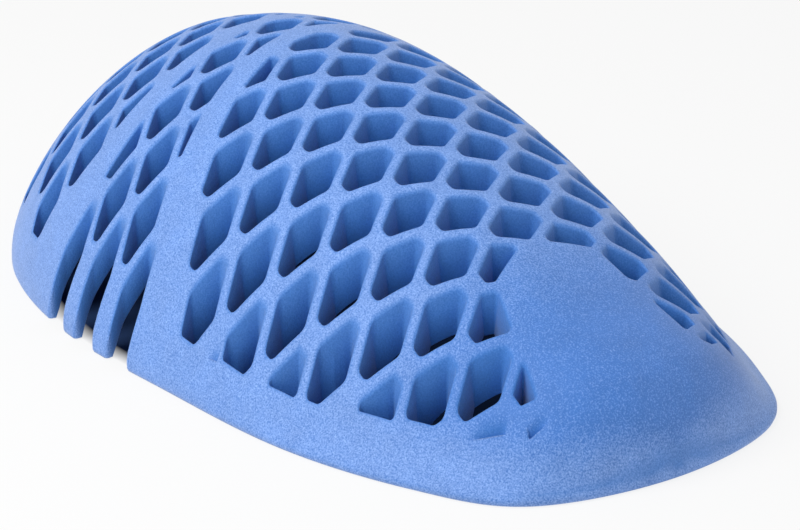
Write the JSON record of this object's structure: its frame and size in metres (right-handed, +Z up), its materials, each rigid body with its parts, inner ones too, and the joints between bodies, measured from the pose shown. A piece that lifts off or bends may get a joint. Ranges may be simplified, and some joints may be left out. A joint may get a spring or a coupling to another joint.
{
  "type": "shoulder protector",
  "caption": "Domed shoulder pad with an egg-shaped foot, pierced by a grid of upright cells, with plain bands across it, slit sides and a solid nose.",
  "frame": {"origin": "middle of the foot's box, on the surface that the pad rests on", "axes": "+X towards the solid nose, +Y across, +Z up out of the dome"},
  "size_m": [0.221, 0.1248, 0.0595],
  "materials": {
    "pad": "matte, finely grained"
  },
  "bodies": {
    "root": {"shell": "pad"}
  },
  "joints": []
}
